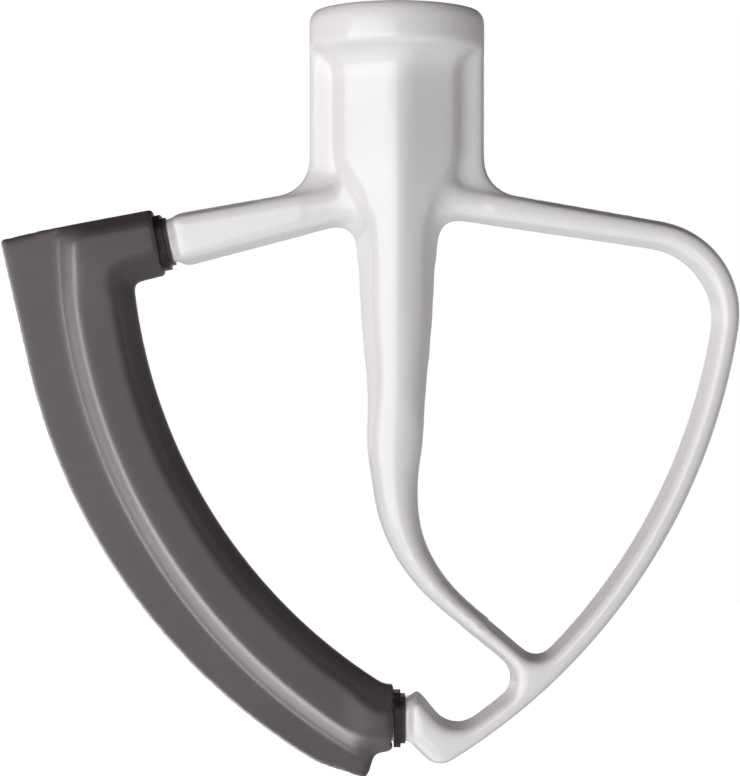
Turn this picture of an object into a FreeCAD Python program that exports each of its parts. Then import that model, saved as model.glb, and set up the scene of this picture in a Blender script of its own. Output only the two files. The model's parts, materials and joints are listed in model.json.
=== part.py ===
import FreeCAD, Part
import math
import os

V = FreeCAD.Vector

# Origin: centre of the shaft bore at the hub's top face. +Z runs up the mixer shaft,
# +X points to the open loop and -Y is the front. All sizes are in millimetres.

# Shaft socket: a blind bore with one bayonet slot for the shaft's cross pin
shaft_diameter = 12.7
shaft_play = 0.15
shaft_bore_radius = shaft_diameter / 2 + shaft_play
shaft_bore_depth = 33.0
pin_diameter = 4.8
pin_stand_out = 3.0
pin_play = 0.3
slot_width = pin_diameter + 2 * pin_play
slot_reach = shaft_diameter / 2 + pin_stand_out + pin_play
slot_drop = 20.0
slot_turn = 36.0
slot_rise = 2.4

# Hub collar, hollowed on its underside where the boss and the side webs run into it
hub_wall = 8.35
hub_radius = shaft_bore_radius + hub_wall
collar_top_round = 1.7
collar_bottom = -7.0
collar_rim_round = 0.9
boss_cove = 4.6
web_cove = 1.6
cove_lift = 0.5
cove_set_back = 0.65

# Side webs that stand back between the boss, the collar and the arms
web_half_depth = 3.4
web_set_back = 0.1
web_half_width = hub_radius - web_set_back
web_edge_round = 1.3
web_top = -4.0
web_foot = -34.5
web_foot_reach = 23.5
web_sink = 0.4
ledge_cove = 1.6
ledge_sink = 1.1
ledge_reach = 16.0

# Flat frame: all its bars share one depth, one casting draft and the same edge rounds
bar_half_depth = 5.5
bar_draft = 1.2
bar_edge_round = 0.7
parting_round = 1.5
hidden_corner_round = 1.0
face_corner_round = 0.8

# Arms
arm_top_slope = 10.0
arm_top_reach = 24.9
arm_top_height = -31.7
arm_peak_round = 4.0
hub_to_arm_round = 6.3
left_arm_under_slope = 14.7
left_arm_under_x = -25.2
left_arm_under_height = -40.3
left_arm_end_x = -37.25
left_arm_end_z = -38.5
right_arm_under_slope = 8.3
right_arm_under_x = 27.0
right_arm_under_height = -37.75
arm_end_round = 1.1

# Loop on the open side and the lower bar that follows it to the hook
loop_reach = 59.2
loop_outer_radius = 104.6
loop_centre_x = loop_reach - loop_outer_radius
loop_centre_z = -37.6
loop_width = 4.8
lower_bar_width = 4.4
loop_corner_round = 16.0
window_corner_round = 12.0

# Strut that curves from the stem's foot to the loop
stem_foot_z = -79.0
stem_foot_half_width = 3.92
stem_strip_lean = 1.3
strut_slope = 40.5
strut_left_x = 13.8
strut_left_z = -106.3
strut_width = 3.95
strut_left_bend = 34.0
strut_right_bend = 23.0
window_foot_round = 3.0
strut_heel_round = 3.6

# Hook that carries the lower end of the flexible edge
hook_face_x = 2.5
hook_slope = 50.0
hook_slope_x = 5.6
hook_slope_z = -116.9
hook_valley_round = 4.5
hook_tip_round = 0.8
hook_chin_round = 2.0
hook_heel_slope = 44.0
hook_heel_x = 4.4
hook_heel_z = -125.9
hook_heel_round = 3.5

# Core: the faceted hub boss that narrows into the stem. A section is its half width, the x and y
# of its facet edge, its ridge's depth and its ridge's round. Round the bore the first four are
# counted from the bore's radius. The ridge is broad under the collar and sharpest at the arms.
boss_top = -4.0
boss_foot = -16.0
arm_level = -34.0
boss_section = (4.1, 3.5, 0.2, 6.0)
boss_top_section = (*boss_section, 6.2)
bored_sections = {
    boss_foot: (*boss_section, 4.45),
    -19.0: (*boss_section, 4.0),
    -22.0: (*boss_section, 3.55),
    -26.0: (3.8, 3.0, 0.4, 5.9, 3.0),
    -30.0: (2.7, 0.7, 1.4, 5.5, 2.4),
    arm_level: (1.6, -1.4, 2.0, 4.95, 2.4),
}
stem_sections = {
    -40.0: (7.1, 4.2, 8.0, 10.4, 2.4),
    -52.0: (6.0, 3.9, 6.35, 8.6, 3.0),
    -66.0: (4.7, 3.1, 5.7, 6.9, 3.0),
    -78.0: (3.4, 2.2, 4.8, 5.25, 3.0),
}
stem_end_z = -84.0
stem_end_offset = 0.6
stem_end_section = (2.4, 1.5, 4.2, 4.5, 2.0)
facet_round = 1.3
flank_round = 1.5
arm_root_round = 3.0
arm_root_lowest = -50.0

# Flexible edge: its body and the bar inside it follow arcs about one centre
edge_reach = 57.3
edge_ridge_radius = 103.0
edge_width = 12.25
edge_inner_radius = edge_ridge_radius - edge_width
edge_centre_x = edge_ridge_radius - edge_reach
edge_centre_z = -36.7
edge_half_depth = 7.2
edge_band_half = 1.4
edge_slope = 3.5
edge_front_round = 1.8
edge_top_corner = 3.0
edge_top_slope = 10.6
edge_top_x = -54.0
edge_top_z = -35.75
edge_top_share = 0.6
elbow_under_slope = 14.0
elbow_under_x = -41.5
elbow_under_z = -45.0
elbow_inner_round = 1.2
lower_end_height = 11.4
lower_end_under_round = 8.0
lower_end_top_round = 3.0

# Wiping blade along the edge, thinner towards its rim
blade_stand_out = 7.8
blade_radius = 105.0
blade_width = 7.0
blade_root_radius = blade_radius - blade_width
blade_centre_x = blade_radius - edge_reach - blade_stand_out
blade_centre_z = -36.8
blade_straight_from = 193.0
blade_root_half = 1.3
blade_rim_half = 0.8
blade_rim_round = 0.5
blade_toe_x = -8.8
blade_toe_z = -128.65
blade_toe_slope = 15.5
blade_toe_round = 18.0
blade_tip_x = -4.6
blade_tip_slope = 75.0
blade_tip_round = 1.1
blade_tip_cove = 1.5
blade_tip_sink = 0.8
blade_burial = 2.5
wedge_margin = 8.0

# Bar cast inside the flexible edge, and the necks where it leaves the arm and the hook
spine_width = 7.2
spine_depth = 8.4
spine_corner = 2.0
spine_elbow_round = 6.5
spine_foot_round = 12.0
upper_neck_slope = 11.5
lower_neck_z = -119.5
neck_length = 3.05
spine_root = 1.9

# Dark rings that close both ends of the flexible edge on the necks
ring_wall = 1.0
ring_length = 1.15
lip_wall = 0.35
lip_length = 0.8

# Two places nearer than this are one place
same_place = 1e-3


class Line:
    """A straight side with a heading; lean is its share of the draft."""

    def __init__(self, x, z, heading, lean=1.0):
        turn = math.radians(heading)
        self.point = V(x, 0, z)
        self.heading = heading
        self.lean = lean
        self.way = V(math.cos(turn), 0, math.sin(turn))
        self.left = V(-math.sin(turn), 0, math.cos(turn))

    def shifted(self, step):
        point = self.point + self.left * step
        return Line(point.x, point.z, self.heading, self.lean)

    def foot(self, point):
        return self.point + self.way * (point - self.point).dot(self.way)

    def edge(self, start, end):
        return Part.makeLine(start, end)


class Arc:
    """A round side; turn is 1 when it runs anticlockwise and -1 when it runs clockwise."""

    def __init__(self, x, z, radius, turn, lean=1.0):
        self.centre = V(x, 0, z)
        self.radius = radius
        self.turn = turn
        self.lean = lean

    def shifted(self, step):
        radius = self.radius - self.turn * step
        return Arc(self.centre.x, self.centre.z, radius, self.turn, self.lean)

    def foot(self, point):
        return self.centre + (point - self.centre).normalize() * self.radius

    def edge(self, start, end):
        middle = self.foot((start + end) * 0.5)
        return Part.Arc(start, middle, end).toShape()


def meet(first, second):
    """Where two sides cross; of two crossings, the one nearer to the line's own point."""
    if isinstance(first, Line) and isinstance(second, Line):
        across = second.left
        step = (second.point - first.point).dot(across) / first.way.dot(across)
        return first.point + first.way * step
    line, arc = (first, second) if isinstance(first, Line) else (second, first)
    foot = line.foot(arc.centre)
    gap = (foot - arc.centre).Length
    half = math.sqrt(max(arc.radius ** 2 - gap ** 2, 0.0))
    ends = [foot + line.way * half, foot - line.way * half]
    return min(ends, key=lambda end: (end - line.point).Length)


def rounded_corner(first, second, bend):
    centre = meet(first.shifted(bend), second.shifted(bend))
    return first.foot(centre), centre, second.foot(centre)


def corner_arc(start, centre, end):
    out = (start + end) * 0.5 - centre
    middle = centre + out.normalize() * (start - centre).Length
    return Part.Arc(start, middle, end).toShape()


def outline(sides, bends, inset=0.0, level=0.0, face_corner=face_corner_round):
    """Closed outline with its solid on the left; a bend above zero turns left."""
    moved = [side.shifted(inset * side.lean) for side in sides]
    corners = []
    for i, bend in enumerate(bends):
        if bend > 0:
            bend = max(bend - inset, min(bend, face_corner))
        elif bend < 0:
            bend = bend - inset
        corners.append(rounded_corner(moved[i], moved[(i + 1) % len(moved)], bend))
    edges = []
    for i, (start, centre, end) in enumerate(corners):
        edges.append(moved[i].edge(corners[i - 1][2], start))
        if (start - centre).Length > same_place:
            edges.append(corner_arc(start, centre, end))
    wire = Part.Wire(edges)
    wire.translate(V(0, level, 0))
    return wire


def drafted(sides, bends, draft, half_depth, band=0.0, face_corner=face_corner_round):
    """Solid on both sides of the frame's plane that narrows by the draft to each face."""
    levels = [(draft, -half_depth), (0.0, -band), (0.0, band), (draft, half_depth)]
    if not band:
        levels.pop(1)
    wires = [outline(sides, bends, inset, level, face_corner) for inset, level in levels]
    return Part.makeLoft(wires, True, True)


def rounded_polygon(points, rounds):
    cuts = []
    for i, corner in enumerate(points):
        before = (points[i - 1] - corner).normalize()
        after = (points[(i + 1) % len(points)] - corner).normalize()
        half = before.getAngle(after) / 2
        reach = rounds[i] / math.tan(half)
        middle = (before + after).normalize() * (rounds[i] / math.sin(half) - rounds[i])
        cuts.append((corner + before * reach, corner + middle, corner + after * reach))
    edges = []
    for i, (start, middle, end) in enumerate(cuts):
        edges.append(Part.makeLine(cuts[i - 1][2], start))
        edges.append(Part.Arc(start, middle, end).toShape())
    return Part.Wire(edges)


def bar_section(centre, across, width, depth, corner):
    """Rounded rectangle square to the bar; across is its direction in the frame's plane."""
    side = across * (width / 2)
    front = V(0, depth / 2, 0)
    points = [centre + side + front, centre - side + front, centre - side - front, centre + side - front]
    return rounded_polygon(points, [corner] * 4)


def core_section(height, sizes, growth=0.0, offset=0.0):
    half_width, facet_x, facet_y, ridge_y = [size + growth for size in sizes[:4]]
    ridge_round = sizes[4]
    half = [(half_width, 0), (facet_x, facet_y), (0, ridge_y), (-facet_x, facet_y)]
    points = [V(offset + x, y, height) for x, y in half]
    points += [V(offset - x, -y, height) for x, y in half]
    return rounded_polygon(points, [flank_round, facet_round, ridge_round, facet_round] * 2)


def edges_at(shape, level):
    return [e for e in shape.Edges if all(abs(abs(v.Point.y) - level) < same_place for v in e.Vertexes)]


def middle_of(edge):
    return edge.valueAt((edge.FirstParameter + edge.LastParameter) / 2)


def lies_on(edge, shell):
    return Part.Vertex(middle_of(edge)).distToShape(shell)[0] < same_place


# Frame plate: outer outline, then the window inside the loop
neck_way = Line(left_arm_end_x, left_arm_end_z, 180 + upper_neck_slope)
lower_neck_way = Line(hook_face_x, lower_neck_z, 0)
left_arm_top = Line(-arm_top_reach, arm_top_height, 180 + arm_top_slope)
right_arm_top = Line(arm_top_reach, arm_top_height, 180 - arm_top_slope)
strut_left = Line(strut_left_x, strut_left_z, -strut_slope)
strut_right_point = strut_left.shifted(strut_width).point
frame_sides = [
    left_arm_top,
    Line(left_arm_end_x, left_arm_end_z, upper_neck_slope - 90, 0.0),
    Line(left_arm_under_x, left_arm_under_height, left_arm_under_slope),
    Line(-stem_foot_half_width, stem_foot_z, -90 - stem_strip_lean),
    strut_left,
    Arc(loop_centre_x, loop_centre_z, loop_outer_radius - lower_bar_width, -1),
    Line(hook_slope_x, hook_slope_z, 180 - hook_slope),
    Line(hook_face_x, lower_neck_z, -90, 0.0),
    Line(hook_heel_x, hook_heel_z, -hook_heel_slope),
    Arc(loop_centre_x, loop_centre_z, loop_outer_radius, 1),
    right_arm_top,
]
frame_bends = [
    arm_end_round,
    arm_end_round,
    -hidden_corner_round,
    strut_left_bend,
    -strut_heel_round,
    -hook_valley_round,
    hook_tip_round,
    hook_chin_round,
    hook_heel_round,
    loop_corner_round,
    arm_peak_round,
]
window_sides = [
    Line(stem_foot_half_width, stem_foot_z, 90 + stem_strip_lean),
    Line(right_arm_under_x, right_arm_under_height, -right_arm_under_slope),
    Arc(loop_centre_x, loop_centre_z, loop_outer_radius - loop_width, -1),
    Line(strut_right_point.x, strut_right_point.z, 180 - strut_slope),
]
window_bends = [
    -hidden_corner_round,
    -window_corner_round,
    -window_foot_round,
    -strut_right_bend,
]
plate = drafted(frame_sides, frame_bends, bar_draft, bar_half_depth)
plate = plate.cut(drafted(window_sides, window_bends, bar_draft, bar_half_depth))
plate = plate.makeFillet(bar_edge_round, edges_at(plate, bar_half_depth))
plate = plate.makeFillet(parting_round, edges_at(plate, 0.0))

# Hub boss and stem: straight facets under the collar, then one smooth skin down to the strut
core_wires = [core_section(z, sizes, shaft_bore_radius) for z, sizes in bored_sections.items()]
boss_wires = [core_section(boss_top, boss_top_section, shaft_bore_radius), core_wires[0]]
core_wires += [core_section(z, sizes) for z, sizes in stem_sections.items()]
core_wires.append(core_section(stem_end_z, stem_end_section, offset=stem_end_offset))
core = Part.makeLoft(core_wires, True, False)
boss = Part.makeLoft(boss_wires, True, True)

# The collar's underside is hollowed round the boss: a cove under a wide disc, cut back to the collar
cove_level = collar_bottom + cove_lift
cove_limit = hub_radius - cove_set_back
cove_foot = cove_level - boss_cove
boss = boss.fuse(Part.makeCylinder(2 * hub_radius, -cove_level, V(0, 0, cove_level)))
cove_edges = []
for edge in boss.Edges:
    box = edge.BoundBox
    level = box.ZLength < same_place and abs(box.ZMin - cove_level) < same_place
    if level and max(box.XMax, -box.XMin, box.YMax, -box.YMin) < hub_radius:
        cove_edges.append(edge)
boss = boss.makeFillet(boss_cove, cove_edges)
inside_cove = Part.makeCylinder(cove_limit, hub_radius, V(0, 0, cove_foot))
boss = boss.cut(Part.makeCylinder(3 * hub_radius, hub_radius, V(0, 0, cove_foot)).cut(inside_cove))

# Collar, turned
top_round_in = hub_radius - collar_top_round
rim_round_in = hub_radius - collar_rim_round
rim_round_top = collar_bottom + collar_rim_round
wall_top = V(hub_radius, 0, -collar_top_round)
wall_foot = V(hub_radius, 0, rim_round_top)
collar_profile = Part.Wire([
    Part.makeLine(V(0, 0, 0), V(top_round_in, 0, 0)),
    corner_arc(V(top_round_in, 0, 0), V(top_round_in, 0, -collar_top_round), wall_top),
    Part.makeLine(wall_top, wall_foot),
    corner_arc(wall_foot, V(rim_round_in, 0, rim_round_top), V(rim_round_in, 0, collar_bottom)),
    Part.makeLine(V(rim_round_in, 0, collar_bottom), V(0, 0, collar_bottom)),
    Part.makeLine(V(0, 0, collar_bottom), V(0, 0, 0)),
])
collar = Part.Face(collar_profile).revolve(V(0, 0, 0), V(0, 0, 1), 360)
hub = boss.fuse([collar, core])

# Frame and hub are one casting, with a soft root where each arm leaves the hub. The root's round
# ends on the hub's flank, so it is no larger than the flank's stand-out from the arm's face.
root_wall = bored_sections[arm_level][2] + shaft_bore_radius - bar_half_depth
root_round = min(arm_root_round, root_wall)
casting = plate.fuse(hub)
for side in (-1, 1):
    roots = []
    for edge in casting.Edges:
        box = edge.BoundBox
        beside = min(box.XMin * side, box.XMax * side) > 0 and box.ZMin > arm_root_lowest
        if beside and lies_on(edge, plate.Shells[0]) and lies_on(edge, core.Shells[0]):
            roots.append(edge)
    casting = casting.makeFillet(root_round, roots)

# Side webs, with a cove up to the collar and a small one down to each arm
web_sides = [
    Line(-web_half_width, 0, -90),
    left_arm_top.shifted(web_sink),
    Line(-web_foot_reach, 0, -90),
    Line(0, web_foot, 0),
    Line(web_foot_reach, 0, 90),
    right_arm_top.shifted(web_sink),
    Line(web_half_width, 0, 90),
    Line(0, web_top, 180),
]
web_bends = [-hub_to_arm_round, 0.0, 0.0, 0.0, 0.0, -hub_to_arm_round, 0.0, 0.0]
web_face = Part.Face(outline(web_sides, web_bends, 0.0, -web_half_depth))
web = web_face.extrude(V(0, 2 * web_half_depth, 0))
web = web.makeFillet(web_edge_round, edges_at(web, web_half_depth))
web_cove_foot = cove_level - web_cove
web_cove_out = web_half_depth + web_cove
web_head_sides = []
for side in (-1, 1):
    foot = V(0, side * web_half_depth, web_cove_foot)
    centre = V(0, side * web_cove_out, web_cove_foot)
    rim = V(0, side * web_cove_out, cove_level)
    web_head_sides.append((foot, centre, rim))
(back_foot, back_centre, back_rim), (front_foot, front_centre, front_rim) = web_head_sides
web_head_face = Part.Face(Part.Wire([
    Part.makeLine(back_foot, front_foot),
    corner_arc(front_foot, front_centre, front_rim),
    Part.makeLine(front_rim, back_rim),
    corner_arc(back_rim, back_centre, back_foot),
]))
web_head_face.translate(V(-hub_radius, 0, 0))
web_head = web_head_face.extrude(V(2 * hub_radius, 0, 0))
web_head = web_head.common(Part.makeCylinder(cove_limit, hub_radius, V(0, 0, -hub_radius)))

# Small cove between each web and the arm that it stands on
web_outline = web_face.copy()
web_outline.translate(V(0, web_half_depth - bar_half_depth, 0))
web_block = web_outline.extrude(V(0, 2 * bar_half_depth, 0))
ledges = []
for arm_top in (left_arm_top, right_arm_top):
    up = arm_top.left * -1
    base = arm_top.point - up * ledge_sink - arm_top.way * ledge_reach
    crown = base + up * ledge_cove
    near = V(0, web_half_depth, 0)
    far = V(0, web_half_depth + ledge_cove, 0)
    ledge_face = Part.Face(Part.Wire([
        Part.makeLine(crown - near, crown + near),
        corner_arc(crown + near, crown + far, base + far),
        Part.makeLine(base + far, base - far),
        corner_arc(base - far, crown - far, crown - near),
    ]))
    ledge = ledge_face.extrude(arm_top.way * (2 * ledge_reach))
    ledges.append(ledge.common(web_block))

# Bar inside the flexible edge, from the left arm round to the hook
spine_arc = Arc(edge_centre_x, edge_centre_z, (edge_inner_radius + edge_ridge_radius) / 2, 1)
elbow = rounded_corner(neck_way, spine_arc, spine_elbow_round)
heel = rounded_corner(spine_arc, lower_neck_way, spine_foot_round)
spine_start = neck_way.point - neck_way.way * spine_root
spine_end = lower_neck_way.point + lower_neck_way.way * spine_root
spine_path = Part.Wire([
    Part.makeLine(spine_start, elbow[0]),
    corner_arc(*elbow),
    spine_arc.edge(elbow[2], heel[0]),
    corner_arc(*heel),
    Part.makeLine(heel[2], spine_end),
])
spine_section = bar_section(spine_start, neck_way.left, spine_width, spine_depth, spine_corner)
spine = spine_path.makePipeShell([spine_section], True, True)

# Shaft bore, and the slot: down, round, and up again under the pin
bore = Part.makeCylinder(shaft_bore_radius, shaft_bore_depth, V(0, 0, -shaft_bore_depth))
slot_entry = Part.makeBox(slot_width, slot_reach, slot_drop, V(-slot_width / 2, -slot_reach, -slot_drop))
slot_seat = Part.makeBox(slot_width, slot_reach, slot_width + slot_rise,
                         V(-slot_width / 2, -slot_reach, -slot_drop))
slot_seat.rotate(V(0, 0, 0), V(0, 0, 1), slot_turn)
slot_run = Part.makeCylinder(slot_reach, slot_width, V(0, 0, -slot_drop), V(0, 0, 1), slot_turn)
slot_run.rotate(V(0, 0, 0), V(0, 0, 1), -90)
slot_limit = Part.makeCylinder(slot_reach, slot_drop, V(0, 0, -slot_drop))
slot = slot_entry.fuse([slot_seat, slot_run]).common(slot_limit)
slot.rotate(V(0, 0, 0), V(0, 0, 1), -slot_turn / 2)

beater_frame = casting.fuse([web, web_head, spine] + ledges).cut([bore, slot]).removeSplitter()

# Flexible edge: body with sloping sides, square at both ends
upper_end = neck_way.point + neck_way.way * neck_length
lower_end = lower_neck_way.point - lower_neck_way.way * neck_length
edge_top = Line(edge_top_x, edge_top_z, 180 + edge_top_slope, edge_top_share)
body_sides = [
    edge_top,
    Arc(edge_centre_x, edge_centre_z, edge_ridge_radius, 1),
    Line(lower_end.x, lower_neck_z - lower_end_height / 2, 0),
    Line(lower_end.x, lower_end.z, 90, 0.0),
    Line(lower_end.x, lower_neck_z + lower_end_height / 2, 180),
    Arc(edge_centre_x, edge_centre_z, edge_inner_radius, -1),
    Line(elbow_under_x, elbow_under_z, elbow_under_slope),
    Line(upper_end.x, upper_end.z, upper_neck_slope + 90, 0.0),
]
body_bends = [
    edge_top_corner,
    lower_end_under_round,
    0.0,
    0.0,
    -lower_end_top_round,
    -elbow_inner_round,
    0.0,
    0.0,
]
edge_body = drafted(body_sides, body_bends, edge_slope, edge_half_depth, edge_band_half, edge_top_corner)
end_faces = [
    Part.Face(Part.Plane(upper_end, neck_way.way)),
    Part.Face(Part.Plane(lower_end, lower_neck_way.way)),
]
front_edges = []
for edge in edges_at(edge_body, edge_half_depth):
    if not any(lies_on(edge, face) for face in end_faces):
        front_edges.append(edge)
edge_body = edge_body.makeFillet(edge_front_round, front_edges)

# Blade: its outline cut from a turned wedge, so that it thins towards the rim
rim_arc = Arc(blade_centre_x, blade_centre_z, blade_radius, 1)
straight_turn = math.radians(blade_straight_from)
straight_foot = rim_arc.centre + V(math.cos(straight_turn), 0, math.sin(straight_turn)) * blade_radius
rim_sides = [
    Line(straight_foot.x, straight_foot.z, blade_straight_from + 90),
    rim_arc,
    Line(blade_toe_x, blade_toe_z, -blade_toe_slope),
    Line(blade_tip_x, blade_toe_z, blade_tip_slope),
]
burial_arc = Arc(edge_centre_x, edge_centre_z, edge_ridge_radius - blade_burial, -1)
blade_bends = [0.0, 0.0, blade_toe_round, blade_tip_round, 0.0, 0.0]
blade_outline = outline([edge_top] + rim_sides + [burial_arc], blade_bends, 0.0, -blade_root_half)
blade_blank = Part.Face(blade_outline).extrude(V(0, 2 * blade_root_half, 0))
wedge_fall = (blade_root_half - blade_rim_half) / (blade_radius - blade_root_radius)
wedge_in = blade_root_radius - wedge_margin
wedge_out = blade_radius + wedge_margin
wedge_corners = []
for radius, side in ((wedge_in, -1), (wedge_out, -1), (wedge_out, 1), (wedge_in, 1)):
    half = blade_root_half - wedge_fall * (radius - blade_root_radius)
    wedge_corners.append(rim_arc.centre + V(radius, side * half, 0))
wedge_profile = Part.Face(Part.makePolygon(wedge_corners, True))
blade = blade_blank.common(wedge_profile.revolve(rim_arc.centre, V(0, 1, 0), 360))
rim_edges = []
for edge in blade.Edges:
    middle = middle_of(edge)
    flat_middle = V(middle.x, 0, middle.z)
    along_rim = any((side.foot(flat_middle) - flat_middle).Length < same_place for side in rim_sides[:3])
    if along_rim and abs(middle.y) > blade_rim_half / 2:
        rim_edges.append(edge)
blade = blade.makeFillet(blade_rim_round, rim_edges)

# Hollow corner where the blade's tip runs into the edge's underside
tip_side = rim_sides[-1]
under_side = Line(blade_tip_x, lower_neck_z - lower_end_height / 2, 0)
tip_start, tip_centre, tip_end = rounded_corner(tip_side, under_side, -blade_tip_cove)
tip_inside = meet(tip_side.shifted(blade_tip_sink), under_side.shifted(blade_tip_sink))
tip_half = V(0, (blade_root_half + blade_rim_half) / 2, 0)
tip_face = Part.Face(Part.Wire([
    Part.makeLine(tip_start, tip_inside),
    Part.makeLine(tip_inside, tip_end),
    corner_arc(tip_end, tip_centre, tip_start),
]))
tip_face.translate(tip_half * -1)
blade_tip = tip_face.extrude(tip_half * 2)
flex_edge = edge_body.fuse([blade, blade_tip]).cut(beater_frame).removeSplitter()


def seal_ring(end, way, across):
    """Stepped ring round a neck: the ring against the edge's end, then its thin lip."""
    steps = []
    for wall, start, length in ((ring_wall, 0.0, ring_length), (lip_wall, ring_length, lip_length)):
        width = spine_width + 2 * wall
        depth = spine_depth + 2 * wall
        section = bar_section(end + way * start, across, width, depth, spine_corner + wall)
        steps.append(Part.Face(section).extrude(way * length))
    return steps[0].fuse(steps[1]).cut(beater_frame)


upper_seal_ring = seal_ring(upper_end, neck_way.way * -1, neck_way.left)
lower_seal_ring = seal_ring(lower_end, lower_neck_way.way, lower_neck_way.left)

os.makedirs("parts", exist_ok=True)
beater_frame.exportStep("parts/beater_frame.step")
flex_edge.exportStep("parts/flex_edge.step")
upper_seal_ring.exportStep("parts/upper_seal_ring.step")
lower_seal_ring.exportStep("parts/lower_seal_ring.step")
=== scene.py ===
import bmesh
import bpy
import json
import math
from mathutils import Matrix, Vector

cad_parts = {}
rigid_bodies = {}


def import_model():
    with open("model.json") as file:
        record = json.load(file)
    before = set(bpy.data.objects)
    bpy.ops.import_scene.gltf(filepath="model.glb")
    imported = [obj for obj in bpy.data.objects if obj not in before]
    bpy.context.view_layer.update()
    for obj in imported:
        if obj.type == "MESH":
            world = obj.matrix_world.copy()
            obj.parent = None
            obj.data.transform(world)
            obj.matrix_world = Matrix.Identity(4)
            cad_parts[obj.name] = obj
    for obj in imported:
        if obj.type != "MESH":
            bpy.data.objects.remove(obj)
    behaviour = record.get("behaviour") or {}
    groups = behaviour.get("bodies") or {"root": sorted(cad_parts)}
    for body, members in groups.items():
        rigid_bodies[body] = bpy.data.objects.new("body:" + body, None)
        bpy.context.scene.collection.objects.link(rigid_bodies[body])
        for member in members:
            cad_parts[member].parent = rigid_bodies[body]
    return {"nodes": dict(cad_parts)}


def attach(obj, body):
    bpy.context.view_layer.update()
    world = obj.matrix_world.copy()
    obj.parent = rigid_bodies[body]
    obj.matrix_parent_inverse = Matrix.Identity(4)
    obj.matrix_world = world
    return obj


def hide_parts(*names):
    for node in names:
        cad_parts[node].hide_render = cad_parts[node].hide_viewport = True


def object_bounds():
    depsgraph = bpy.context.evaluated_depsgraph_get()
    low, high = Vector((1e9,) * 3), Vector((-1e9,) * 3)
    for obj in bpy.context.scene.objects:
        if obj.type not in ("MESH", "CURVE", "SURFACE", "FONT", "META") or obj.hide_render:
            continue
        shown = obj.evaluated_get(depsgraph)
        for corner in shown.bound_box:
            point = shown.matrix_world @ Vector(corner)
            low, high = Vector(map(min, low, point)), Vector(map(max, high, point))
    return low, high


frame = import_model()
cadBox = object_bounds()
print("frame loaded:", sorted(frame["nodes"]))

perMetre = 1000.0  # millimetres in one of the frame's metres


class Wire:
    # a socket that works like a number: sums on it add Math nodes to its tree
    def __init__(self, tree, socket=None):
        self.tree = tree
        self.socket = socket

    def node(self, kind, settings=None, inputs=None, output=0):
        made = self.tree.nodes.new(kind)
        for name, value in (settings or {}).items():
            setattr(made, name, value)
        for name, value in (inputs or {}).items():
            if isinstance(value, Wire):
                self.tree.links.new(value.socket, made.inputs[name])
            else:
                made.inputs[name].default_value = value
        return Wire(self.tree, made.outputs[output] if made.outputs else None)

    def maths(self, operation, first, second):
        return self.node("ShaderNodeMath", {"operation": operation}, {0: first, 1: second})

    def __add__(self, other):
        return self.maths("ADD", self, other)

    def __sub__(self, other):
        return self.maths("SUBTRACT", self, other)

    def __rsub__(self, other):
        return self.maths("SUBTRACT", other, self)

    def __mul__(self, other):
        return self.maths("MULTIPLY", self, other)

    __radd__ = __add__
    __rmul__ = __mul__

    def axis(self, letter):
        return self.node("ShaderNodeSeparateXYZ", {}, {0: self}, letter)

    def clamped(self, low, high):
        inputs = {"Value": self, "From Min": low, "From Max": high}
        return self.node("ShaderNodeMapRange", {"interpolation_type": "SMOOTHSTEP"}, inputs)

    def noise(self, size, detail, roughness=0.5):
        inputs = {"Vector": self, "Scale": 1.0 / size, "Detail": detail, "Roughness": roughness}
        return self.node("ShaderNodeTexNoise", {}, inputs)

    def bump(self):
        return self.node("ShaderNodeBump", {}, {"Strength": 1.0, "Distance": 1.0, "Height": self})

    def blendColours(self, factor, first, second):
        inputs = {"Factor": factor, 6: first, 7: second}  # 6, 7 and output 2 are Mix's colour sockets
        return self.node("ShaderNodeMix", {"data_type": "RGBA"}, inputs, 2)

    def ray(self, kind):
        return self.node("ShaderNodeLightPath", output="Is " + kind + " Ray")


def rgba(colour):
    return (*colour, 1.0)


def newMaterial(name):
    material = bpy.data.materials.new(name)
    material.use_nodes = True
    material.node_tree.nodes.clear()
    return material, Wire(material.node_tree)


def closeMaterial(tree, shader):
    tree.node("ShaderNodeOutputMaterial", {}, {"Surface": shader})


def dress(nodeName, material):
    mesh = frame["nodes"][nodeName].data
    mesh.materials.clear()
    mesh.materials.append(material)


# White coat: a thick glossy layer over a casting, with a faint orange peel and soft waves.
# A noise is its size in metres, its detail and, where given, its roughness.
whiteCoat = {
    "pale": (0.885, 0.88, 0.89),
    "warm": (0.862, 0.855, 0.863),
    "mottle": (0.018, 1.0),
    "mottleShare": 0.4,
    "speck": (0.0005, 2.0),
    "speckShare": 0.6,
    "peel": (0.0011, 1.5),
    "peelHeight": 0.000005,
    "wave": (0.012, 1.0),
    "waveHeight": 0.000004,
    "dulling": (0.0072, 0.5),
    "roughness": (0.29, 0.37),
    "coatWeight": 0.8,
    "coatRoughness": 0.08,
}


def makeWhiteCoat():
    look = whiteCoat
    material, tree = newMaterial("white_coat")
    place = tree.node("ShaderNodeTexCoord", output="Object")
    mottle = place.noise(*look["mottle"]) * look["mottleShare"]
    speck = place.noise(*look["speck"]) * look["speckShare"]
    wave = place.noise(*look["wave"]) * look["waveHeight"]
    peel = place.noise(*look["peel"]) * look["peelHeight"]
    smooth, dull = look["roughness"]
    shader = tree.node("ShaderNodeBsdfPrincipled", {}, {
        "Base Color": tree.blendColours(mottle + speck, rgba(look["pale"]), rgba(look["warm"])),
        "Roughness": smooth + (dull - smooth) * place.noise(*look["dulling"]),
        "Coat Weight": look["coatWeight"],
        "Coat Roughness": look["coatRoughness"],
        "Normal": (wave + peel).bump(),
    })
    closeMaterial(tree, shader)
    return material


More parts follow.
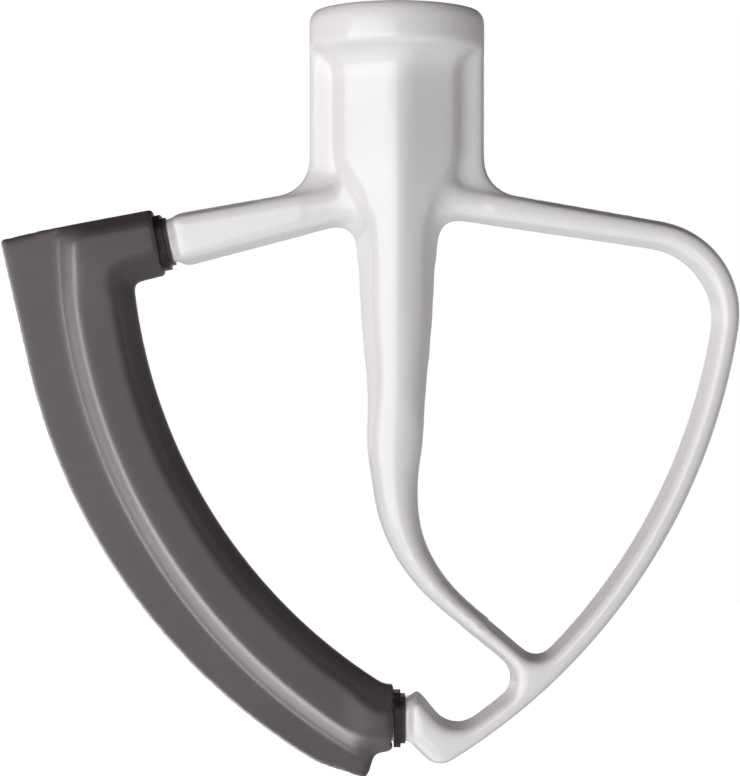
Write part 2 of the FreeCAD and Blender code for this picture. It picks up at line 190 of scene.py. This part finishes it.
# Grey elastomer: matte, a little cloudy, with a fine moulded grain
greyElastomer = {
    "grey": (0.070, 0.056, 0.067),
    "pale": (0.086, 0.070, 0.083),
    "cloud": (0.016, 4.0, 0.6),
    "cloudRange": (0.35, 0.7),
    "grain": (0.00035, 2.0),
    "grainHeight": 0.000012,
    "roughness": (0.38, 0.50),
    "specular": 0.5,
}


def makeElastomer(name, look, ringEnd=None):
    material, tree = newMaterial(name)
    place = tree.node("ShaderNodeTexCoord", output="Object")
    cloud = place.noise(*look["cloud"])
    grain = place.noise(*look["grain"]) * look["grainHeight"]
    clouded = cloud.clamped(*look["cloudRange"])
    colour = tree.blendColours(clouded, rgba(look["grey"]), rgba(look["pale"]))
    if ringEnd:
        (across, height), (wayAcross, wayUp) = ringEnd
        pastX = place.axis("X") * perMetre - across
        pastZ = place.axis("Z") * perMetre - height
        lip = (pastX * wayAcross + pastZ * wayUp).clamped(*look["lipRange"])
        colour = tree.blendColours(lip, colour, rgba(look["lip"]))
    smooth, dull = look["roughness"]
    shader = tree.node("ShaderNodeBsdfPrincipled", {}, {
        "Base Color": colour,
        "Roughness": smooth + (dull - smooth) * cloud,
        "Specular IOR Level": look["specular"],
        "Normal": grain.bump(),
    })
    closeMaterial(tree, shader)
    return material


# Dark rings: the same stuff, nearly black, with a paler lip on the side away from the edge
darkRing = {
    "grey": (0.010, 0.007, 0.009),
    "pale": (0.016, 0.012, 0.014),
    "cloud": (0.004, 4.0, 0.6),
    "cloudRange": (0.35, 0.7),
    "grain": (0.0003, 2.0),
    "grainHeight": 0.000010,
    "roughness": (0.40, 0.52),
    "specular": 0.4,
    "lip": (0.052, 0.040, 0.044),
    "lipRange": (1.05, 1.17),
}
# The lip is measured from a point (x, z) beside each ring, along the bar's way there, in millimetres
ringEnds = {
    "upper_seal_ring": ((-40.24, -39.11), (0.980, 0.199)),
    "lower_seal_ring": ((-0.55, -120.0), (1.0, 0.0)),
}

# The coat and the moulding round every edge of the solids: a voxel copy, smoothed zone by zone.
# A zone is a test on a point in millimetres, and its rounds of smoothing.
smoothing = {"factor": 0.5, "merge": 1e-6}
crispBore = {"radius": 9.9, "foot": -34.0}  # bore and slot are left as they are
stemHalfWidth = 15.5
edgeBend = (45.7, -36.7)  # centre (x, z) of the flexible edge's curve


def ramp(value, start, stop):
    share = min(1.0, max(0.0, (value - start) / (stop - start)))
    return share * share * (3.0 - 2.0 * share)


def edgeRadius(x, z):
    across, down = edgeBend
    return math.hypot(x - across, z - down)


def anywhere(x, y, z):
    return True


def outsideBore(x, y, z):
    return math.hypot(x, y) > crispBore["radius"] or z < crispBore["foot"]


def alongStem(top, foot):
    return lambda x, y, z: abs(x) < stemHalfWidth and foot < z < top and outsideBore(x, y, z)


def aroundBend(inner, outer=math.inf, top=math.inf):
    return lambda x, y, z: inner < edgeRadius(x, z) < outer and z < top


def soften(look, material, before=None, after=None):
    node = frame["nodes"][look["node"]]
    mesh = node.data.copy()
    bm = bmesh.new()
    bm.from_mesh(mesh)
    bmesh.ops.remove_doubles(bm, verts=bm.verts, dist=smoothing["merge"])
    bm.to_mesh(mesh)
    bm.free()
    piece = bpy.data.objects.new(look["piece"], mesh)
    bpy.context.scene.collection.objects.link(piece)
    voxels = piece.modifiers.new("voxels", "REMESH")
    voxels.mode = "VOXEL"
    voxels.voxel_size = look["voxel"]
    found = piece.evaluated_get(bpy.context.evaluated_depsgraph_get())
    made = bpy.data.meshes.new_from_object(found)
    piece.modifiers.clear()
    bm = bmesh.new()
    bm.from_mesh(made)
    if before:
        before(bm)
    for test, rounds in look["zones"]:
        chosen = [vert for vert in bm.verts if test(*(vert.co * perMetre))]
        for turn in range(rounds):
            bmesh.ops.smooth_vert(
                bm,
                verts=chosen,
                factor=smoothing["factor"],
                use_axis_x=True,
                use_axis_y=True,
                use_axis_z=True,
            )
    if after:
        after(bm)
    for face in bm.faces:
        face.smooth = True
    bm.to_mesh(made)
    bm.free()
    piece.data = made
    made.materials.clear()
    made.materials.append(material)
    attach(piece, "root")
    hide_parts(look["node"])
    print(look["piece"], "faces", len(made.polygons))


# Casting: the stem is smoothed most where its foot runs into the strut
softCasting = {
    "node": "beater_frame",
    "piece": "coated_casting",
    "slot": "white_coat",
    "voxel": 0.00052,
    "zones": (
        (outsideBore, 7),
        (alongStem(-7.5, -104.0), 13),
        (alongStem(-42.0, -104.0), 10),
        (alongStem(-52.0, -102.0), 12),
        (alongStem(-60.0, -100.0), 14),
        (alongStem(-68.0, -97.0), 16),
        (alongStem(-70.0, -92.0), 24),
    ),
}
# Smoothing thins the stem and rounds its bend, so it swells back and leans towards the flexible edge:
# at most this much, in millimetres, fading over these heights
stemShape = {
    "swell": {"most": 0.52, "top": (-40.0, -60.0), "foot": (-92.0, -112.0)},
    "lean": {"most": 0.65, "top": (-60.0, -88.0), "foot": (-86.0, -106.0)},
}


def swellStem(bm):
    def amount(look, z):
        return look["most"] * ramp(z, *look["top"]) * (1.0 - ramp(z, *look["foot"])) / perMetre

    bm.normal_update()
    for vert in bm.verts:
        z = vert.co.z * perMetre
        if abs(vert.co.x * perMetre) < stemHalfWidth:
            vert.co += vert.normal * amount(stemShape["swell"], z)
            vert.co.x -= amount(stemShape["lean"], z)


# Flexible edge: radii are about its bend; the blade's rim and both shoulders are smoothed most
softEdge = {
    "node": "flex_edge",
    "piece": "moulded_edge",
    "slot": "grey_elastomer",
    "voxel": 0.00042,
    "zones": (
        (anywhere, 3),
        (aroundBend(106.5), 14),
        (aroundBend(92.0, 101.6, -43.0), 16),
        (aroundBend(99.5, 105.5, -38.0), 9),
    ),
}
# Its shoulders rise from a low wall at the rim to the body's front, whose half depth is cut to match.
# The rise fades out at the elbow (heights) and at the lower end (places across).
shoulders = {
    "outer": {"rim": 103.0, "way": -1.0, "width": 4.7, "bow": 0.8},
    "inner": {"rim": 90.7, "way": 1.0, "width": 2.3, "bow": 0.0},
    "wall": 0.25,
    "depth": (1.75, 6.4),
    "midPlane": 0.3,
    "elbow": (-43.5, -50.0),
    "foot": (-4.0, -9.0),
}


def raiseShoulders(bm):
    look = shoulders
    low, high = look["depth"]
    for vert in bm.verts:
        x, y, z = vert.co * perMetre
        share = ramp(z, *look["elbow"]) * ramp(x, *look["foot"])
        if abs(y) > high:
            y = math.copysign(abs(y) + (high - abs(y)) * share, y)
            vert.co.y = y / perMetre
        for side in (look["outer"], look["inner"]):
            inward = (edgeRadius(x, z) - side["rim"]) * side["way"]
            if 0.0 < inward < side["width"] and share and abs(y) > look["midPlane"]:
                way = inward / side["width"]
                rise = way + side["bow"] * (math.sin(way * math.pi / 2.0) - way)
                depth = low * ramp(inward, 0.0, look["wall"]) + (high - low) * rise
                raised = abs(y) + max(0.0, depth - abs(y)) * share
                vert.co.y = math.copysign(raised, y) / perMetre


soften(softCasting, makeWhiteCoat(), after=swellStem)
soften(softEdge, makeElastomer("grey_elastomer", greyElastomer), before=raiseShoulders)
for ringName, ringEnd in ringEnds.items():
    dress(ringName, makeElastomer("dark_" + ringName, darkRing, ringEnd))
print("pieces softened and dressed")

# Floor: pale and well below the beater, white to the camera but with its shadow kept
floorLook = {
    "drop": 0.34,
    "size": 8.0,
    "colour": (0.90, 0.90, 0.90),
    "seenGlow": 0.97,
    "bounceGlow": 0.28,
}


def makeFloor():
    look = floorLook
    material, tree = newMaterial("pale_floor")
    plain = tree.node("ShaderNodeBsdfDiffuse", {}, {"Color": rgba(look["colour"])})
    soft = tree.node("ShaderNodeEmission", {}, {"Strength": look["bounceGlow"]})
    strong = tree.node("ShaderNodeEmission", {}, {"Strength": look["seenGlow"]})
    seen = tree.ray("Camera") + tree.ray("Transmission")
    glow = tree.node("ShaderNodeMixShader", {}, {"Fac": seen, 1: soft, 2: strong})
    closeMaterial(tree, tree.node("ShaderNodeAddShader", {}, {0: plain, 1: glow}))
    bpy.ops.mesh.primitive_plane_add(size=look["size"])
    floor = bpy.context.object
    floor.name = "pale_floor"
    floor.location.z = cadBox[0].z - look["drop"]
    floor.data.materials.append(material)


makeFloor()

# World: white behind the beater; as light it is bright on the left, weak on the right, dim overhead.
# The ranges are parts of a direction of length 1.
worldLook = {
    "left": 1.02,
    "right": 0.34,
    "leftRange": (-0.3, 0.9),
    "overheadShare": 0.85,
    "overheadRange": (-0.05, 0.55),
    "sideTint": (1.0, 0.965, 1.0),
    "overheadTint": (1.0, 0.82, 0.80),
    "backdropRange": (0.95, 0.99),
    "white": (1.0, 1.0, 1.0),
}


def makeWorld():
    look = worldLook
    world = bpy.data.worlds.new("studio")
    bpy.context.scene.world = world
    world.use_nodes = True
    world.node_tree.nodes.clear()
    tree = Wire(world.node_tree)
    way = tree.node("ShaderNodeTexCoord", output="Generated")
    overhead = way.axis("Z").clamped(*look["overheadRange"])
    leftness = (way.axis("X") * -1.0).clamped(*look["leftRange"])
    behind = way.axis("Y").clamped(*look["backdropRange"])
    level = look["right"] + (look["left"] - look["right"]) * leftness
    light = tree.node("ShaderNodeBackground", {}, {
        "Color": tree.blendColours(overhead, rgba(look["sideTint"]), rgba(look["overheadTint"])),
        "Strength": level * (1.0 - overhead * look["overheadShare"]),
    })
    white = tree.node("ShaderNodeBackground", {}, {"Color": rgba(look["white"]), "Strength": 1.0})
    shader = tree.node("ShaderNodeMixShader", {}, {
        "Fac": tree.ray("Camera") + tree.ray("Transmission") + tree.ray("Glossy") * behind,
        1: light,
        2: white,
    })
    tree.node("ShaderNodeOutputWorld", {}, {"Surface": shader})


makeWorld()

# Lamps: bearing counts from the camera's side towards +X, height is above the beater's middle
lamps = {
    "key": {"bearing": -34, "height": -4, "distance": 0.9, "size": (1.2, 0.56), "power": 5.0},
    "under": {"bearing": 180, "height": -72, "distance": 0.36, "size": (0.5, 0.4), "power": 0.5},
    "left_sheen": {"bearing": -94, "height": -10, "distance": 0.7, "size": (0.4, 0.5), "power": 4.6},
    "low_sheen": {"bearing": -104, "height": -50, "distance": 0.42, "size": (0.4, 0.35), "power": 3.4},
}
sheenLamps = ("left_sheen", "low_sheen")  # these put gloss on the flexible edge alone
dullLamps = ("under",)  # this one leaves no highlight


def makeLamps():
    middle = (cadBox[0] + cadBox[1]) / 2
    edgeOnly = bpy.data.collections.new("edge_only")
    edgeOnly.objects.link(bpy.data.objects[softEdge["piece"]])
    for name, look in lamps.items():
        lamp = bpy.data.lights.new(name, "AREA")
        lamp.shape = "RECTANGLE"
        lamp.size, lamp.size_y = look["size"]
        lamp.energy = look["power"]
        bearing = math.radians(look["bearing"])
        height = math.radians(look["height"])
        flat = math.cos(height) * look["distance"]
        away = Vector((
            flat * math.sin(bearing),
            -flat * math.cos(bearing),
            look["distance"] * math.sin(height),
        ))
        stand = bpy.data.objects.new(name, lamp)
        stand.location = middle + away
        stand.rotation_euler = (-away).to_track_quat("-Z", "Y").to_euler()
        stand.visible_camera = False
        stand.visible_glossy = name not in dullLamps
        if name in sheenLamps:
            stand.visible_diffuse = False
            stand.light_linking.receiver_collection = edgeOnly
        bpy.context.scene.collection.objects.link(stand)


makeLamps()
print("floor, world and lamps made")

# Camera: level with the picture's middle, square to the frame, in metres; the sensor in millimetres
cameraLook = {
    "across": -0.00454,
    "away": 0.40,
    "height": -0.06356,
    "viewHeight": 0.13153,
    "sensor": 36.0,
}


def makeCamera():
    look = cameraLook
    data = bpy.data.cameras.new("camera")
    data.sensor_width = look["sensor"]
    data.lens = look["sensor"] * look["away"] / look["viewHeight"]
    camera = bpy.data.objects.new("camera", data)
    camera.location = (look["across"], -look["away"], look["height"])
    camera.rotation_euler = (math.radians(90), 0, 0)
    bpy.context.scene.collection.objects.link(camera)
    bpy.context.scene.camera = camera


makeCamera()
bpy.context.scene.view_settings.view_transform = "Standard"
print("camera placed")
